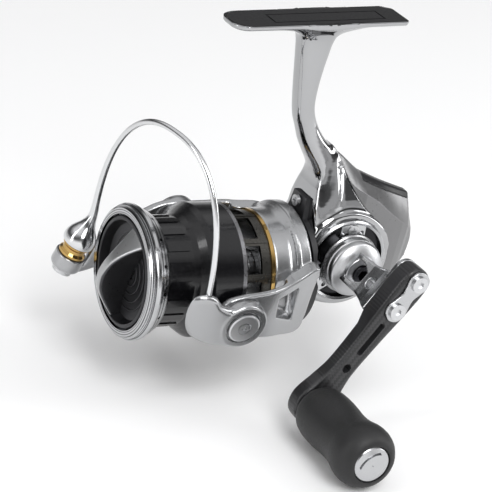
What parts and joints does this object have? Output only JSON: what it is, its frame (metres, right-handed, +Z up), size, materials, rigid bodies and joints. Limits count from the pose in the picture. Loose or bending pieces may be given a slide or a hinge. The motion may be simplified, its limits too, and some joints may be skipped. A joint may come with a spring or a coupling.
{
  "type": "spinning reel",
  "caption": "Front-drag spinning reel: the crank turns the rotor and its bail round a spool that slides on its shaft.",
  "frame": {"origin": "middle of the foot's flat seat, where it lies against the rod", "axes": "+Z up into the rod, -X to the rod's tip and the spool, -Y to the crank's side"},
  "size_m": [0.1156, 0.1196, 0.1246],
  "materials": {
    "mirror_chrome": "polished and chromed to a mirror",
    "seat_pad": "gloss, near black",
    "satin_alloy": "turned, satin",
    "steel": "bright steel",
    "blued_steel": "blackened",
    "guard_grey": "satin grey paint",
    "trim_black": "matte black",
    "dark_cover": "satin black",
    "gear_alloy": "machined, gold anodised",
    "brass": "machined brass",
    "hub_dark": "dark anodised",
    "carbon": "woven carbon under clear resin",
    "knob_foam": "soft black foam",
    "rotor_silver": "satin silver paint",
    "gunmetal": "dark anodised",
    "gold": "gold anodised",
    "bright_steel": "polished",
    "slider_grey": "moulded grey",
    "click_black": "moulded black",
    "lip_alloy": "diamond cut and polished",
    "spool_black": "gloss black anodised",
    "rim_grey": "bare edge",
    "drag_felt": "pressed felt",
    "knob_grey": "dark grey",
    "bar_metal": "satin metal"
  },
  "bodies": {
    "frame": {"body_frame": "mirror_chrome", "foot_pad": "seat_pad", "side_plate": "satin_alloy", "bearing_retainer": "satin_alloy", "plate_screws": "steel", "rear_guard": "guard_grey", "guard_trim": "trim_black", "front_cover": "dark_cover", "cover_screw": "steel", "far_cap": "dark_cover", "drive_bearings": "steel", "pinion_bearings": "steel", "clutch_race": "blued_steel", "clutch_rollers": "steel", "guide_rod": "steel"},
    "crank": {"drive_gear": "gear_alloy", "drive_shaft": "steel", "hub_ring": "hub_dark", "hub_cap": "satin_alloy", "handle_screw": "blued_steel", "crank_yoke": "satin_alloy", "crank_arm": "carbon", "arm_plate": "satin_alloy", "arm_screws": "steel", "knob_spindle": "steel"},
    "knob": {"knob_grip": "knob_foam", "knob_cap": "satin_alloy", "knob_bearings": "steel"},
    "oscillating_gear": {"cam_gear": "gear_alloy"},
    "rotor": {"rotor_frame": "rotor_silver", "rotor_drum": "gunmetal", "rotor_ring": "gold", "rotor_nut": "steel", "pinion_gear": "brass", "clutch_sleeve": "steel", "pivot_screws": "steel", "pivot_caps": "steel"},
    "bail": {"near_bail_arm": "rotor_silver", "far_bail_arm": "rotor_silver", "bail_wire": "bright_steel", "roller_cone": "bright_steel", "roller_bolt": "steel"},
    "roller": {"line_roller": "gold"},
    "shaft": {"main_shaft": "steel", "slider": "slider_grey", "slider_screw": "steel", "click_wheel": "click_black"},
    "spool": {"spool_lip": "lip_alloy", "spool_arbor": "spool_black", "spool_rim": "rim_grey", "drag_washers": "drag_felt", "drag_retainer": "steel"},
    "drag_adjuster": {"drag_knob": "knob_grey", "drag_bar": "bar_metal", "drag_nut": "steel"}
  },
  "joints": [
    {"name": "crank_turn", "type": "hinge", "parent": "frame", "child": "crank", "pos_m": [0.01934, 0, -0.08116], "axis": [0, 1, 0], "continuous": true},
    {"name": "knob_turn", "type": "hinge", "parent": "crank", "child": "knob", "pos_m": [-0.00493, -0.06, -0.1142], "axis": [0, 1, 0], "continuous": true},
    {"name": "rotor_turn", "type": "hinge", "parent": "frame", "child": "rotor", "pos_m": [-0.00396, 0, -0.08711], "axis": [0.999, 0, -0.0454], "continuous": true},
    {"name": "oscillating_gear_turn", "type": "hinge", "parent": "frame", "child": "oscillating_gear", "pos_m": [0.03119, 0, -0.0847], "axis": [0, 1, 0], "continuous": true},
    {"name": "bail_flip", "type": "hinge", "parent": "rotor", "child": "bail", "pos_m": [-0.02503, 0, -0.08615], "axis": [-0.0101, -0.9751, -0.2213], "range_deg": [0, 90]},
    {"name": "roller_turn", "type": "hinge", "parent": "bail", "child": "roller", "pos_m": [-0.05926, 0.02899, -0.09033], "axis": [0.2846, -0.215, 0.9342], "continuous": true},
    {"name": "shaft_slide", "type": "slide", "parent": "frame", "child": "shaft", "axis": [0.999, 0, -0.0454], "range_m": [0, 0.011]},
    {"name": "spool_slip", "type": "hinge", "parent": "shaft", "child": "spool", "pos_m": [-0.04391, 0, -0.0853], "axis": [0.999, 0, -0.0454], "continuous": true},
    {"name": "drag_adjust", "type": "hinge", "parent": "shaft", "child": "drag_adjuster", "pos_m": [-0.05191, 0, -0.08493], "axis": [0.999, 0, -0.0454], "range_deg": [-180, 180]}
  ],
  "couplings": [
    {"joint": "rotor_turn", "follows": "crank_turn", "ratio": -4.5},
    {"joint": "oscillating_gear_turn", "follows": "crank_turn", "ratio": -0.66667}
  ]
}
